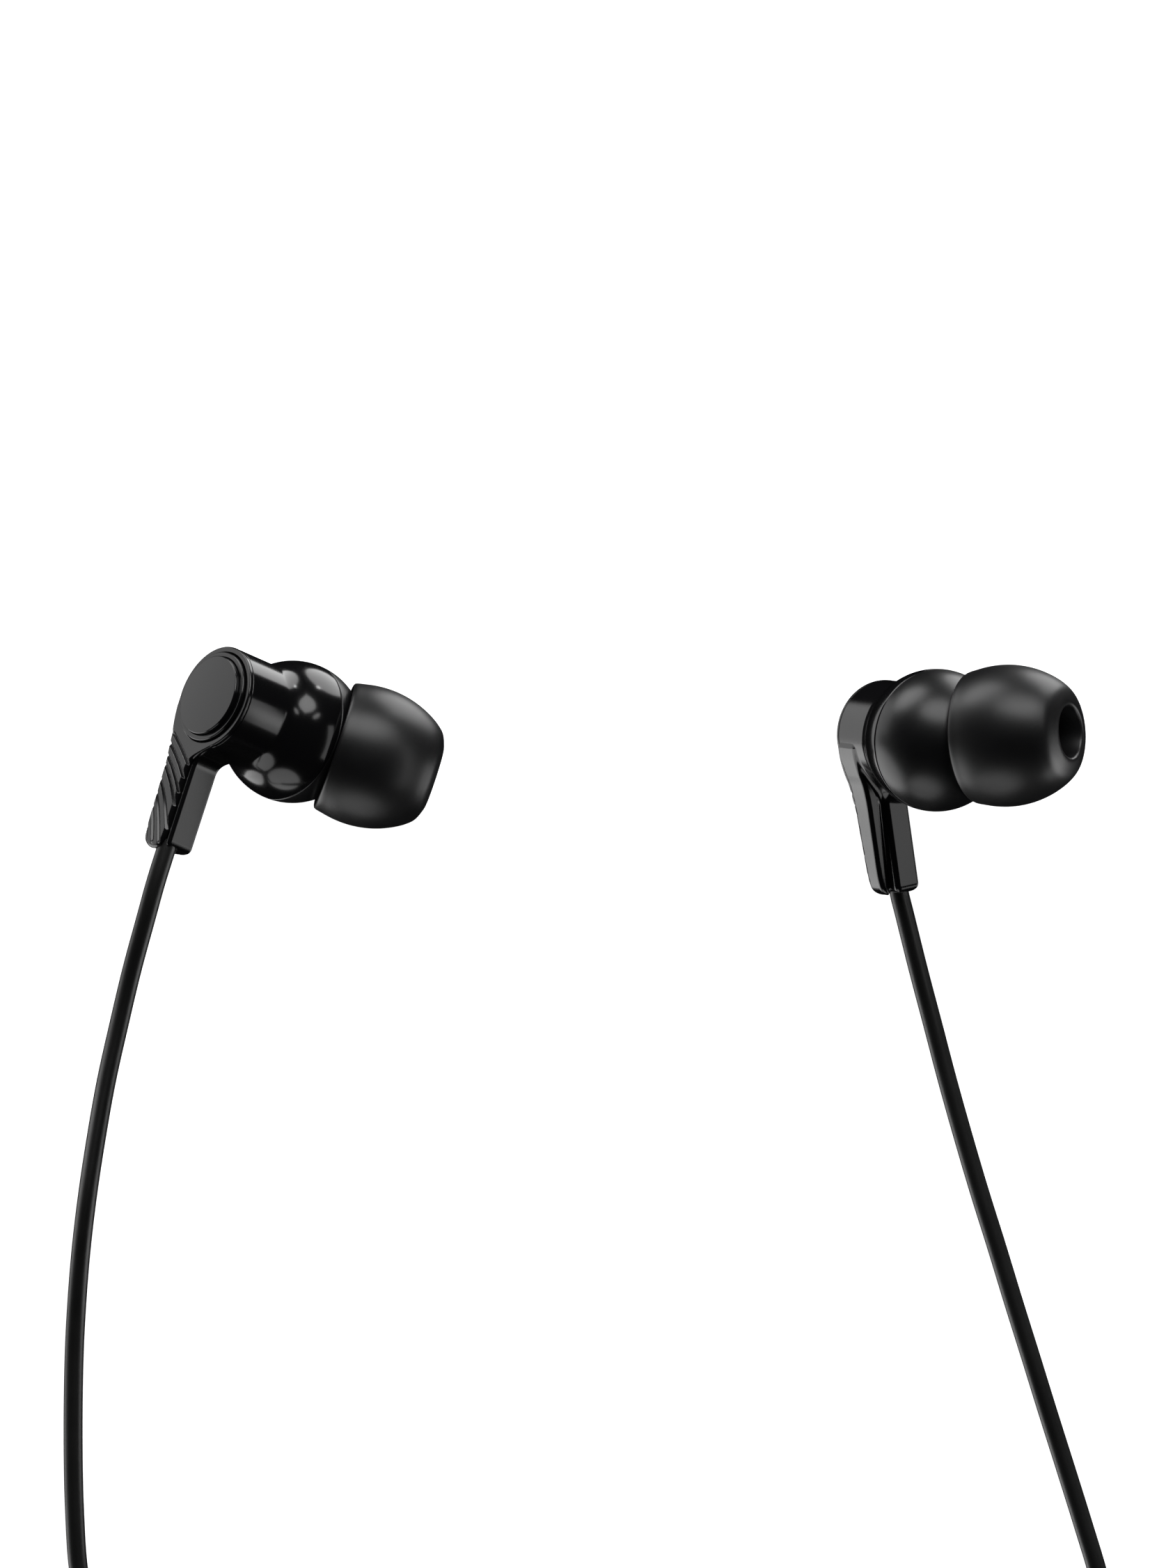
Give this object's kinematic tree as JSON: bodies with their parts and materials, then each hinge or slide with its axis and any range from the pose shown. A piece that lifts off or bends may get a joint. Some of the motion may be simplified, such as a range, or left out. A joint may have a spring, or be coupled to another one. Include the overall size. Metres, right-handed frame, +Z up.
{
  "type": "wired earphones",
  "caption": "In-ear wired earphones: angled ear buds with pull-off silicone tips and grooved stems, branch cords to a splitter, a coiled main cord and a straight stereo jack plug.",
  "frame": {"origin": "on the table surface, midway between the outermost points of the two buds", "axes": "+X from the right-ear bud to the left-ear bud, +Y away from the cords, +Z up from the table the earphones lie on"},
  "size_m": [0.0965, 0.1376, 0.0203],
  "materials": {
    "gloss_shell": "high gloss, deep black",
    "satin_shell": "fine satin black",
    "face_disc": "flat gloss black",
    "black_plastic": "moulded black",
    "silicone": "satin silicone",
    "cord_jacket": "satin flexible jacket",
    "steel": "zinc plated",
    "magnet": "nickel plated magnet",
    "copper": "enamelled copper wire",
    "film": "thin polymer film",
    "felt": "felt",
    "board": "solder mask",
    "wire": "insulated wire",
    "nickel": "nickel plate"
  },
  "bodies": {
    "root": {"right_rear_shell": "gloss_shell", "right_trim_ring": "gloss_shell", "right_face_cap": "face_disc", "right_back_plate": "gloss_shell", "right_front_shell": "satin_shell", "right_nozzle_mesh": "steel", "right_driver_frame": "black_plastic", "right_driver_yoke": "steel", "right_driver_magnet": "magnet", "right_driver_top_plate": "steel", "right_voice_coil": "copper", "right_diaphragm": "film", "right_damping_pad": "felt", "right_terminal_board": "board", "right_inner_lead": "wire", "right_cord_anchor": "black_plastic", "left_rear_shell": "gloss_shell", "left_trim_ring": "gloss_shell", "left_face_cap": "face_disc", "left_back_plate": "gloss_shell", "left_front_shell": "satin_shell", "left_nozzle_mesh": "steel", "left_driver_frame": "black_plastic", "left_driver_yoke": "steel", "left_driver_magnet": "magnet", "left_driver_top_plate": "steel", "left_voice_coil": "copper", "left_diaphragm": "film", "left_damping_pad": "felt", "left_terminal_board": "board", "left_inner_lead": "wire", "left_cord_anchor": "black_plastic", "right_cord": "cord_jacket", "left_cord": "cord_jacket", "branch_coil": "cord_jacket", "branch_tie": "silicone", "right_tail": "cord_jacket", "left_tail": "cord_jacket", "splitter_base": "satin_shell", "splitter_top": "satin_shell", "main_lead": "cord_jacket", "main_coil": "cord_jacket", "main_tie": "silicone", "main_tail": "cord_jacket", "plug_relief": "cord_jacket", "plug_body": "satin_shell", "plug_collar": "nickel", "jack_sleeve": "nickel", "jack_insulator_rear": "black_plastic", "jack_ring": "nickel", "jack_insulator_front": "black_plastic", "jack_tip": "nickel"},
    "right_tip": {"right_ear_tip": "silicone"},
    "left_tip": {"left_ear_tip": "silicone"}
  },
  "joints": [
    {"name": "right_tip_pull", "type": "slide", "parent": "root", "child": "right_tip", "axis": [0.9476, -0.314, -0.0596], "range_m": [0, 0.0055]},
    {"name": "left_tip_pull", "type": "slide", "parent": "root", "child": "left_tip", "axis": [0.8907, 0.0564, 0.4511], "range_m": [0, 0.0055]}
  ]
}
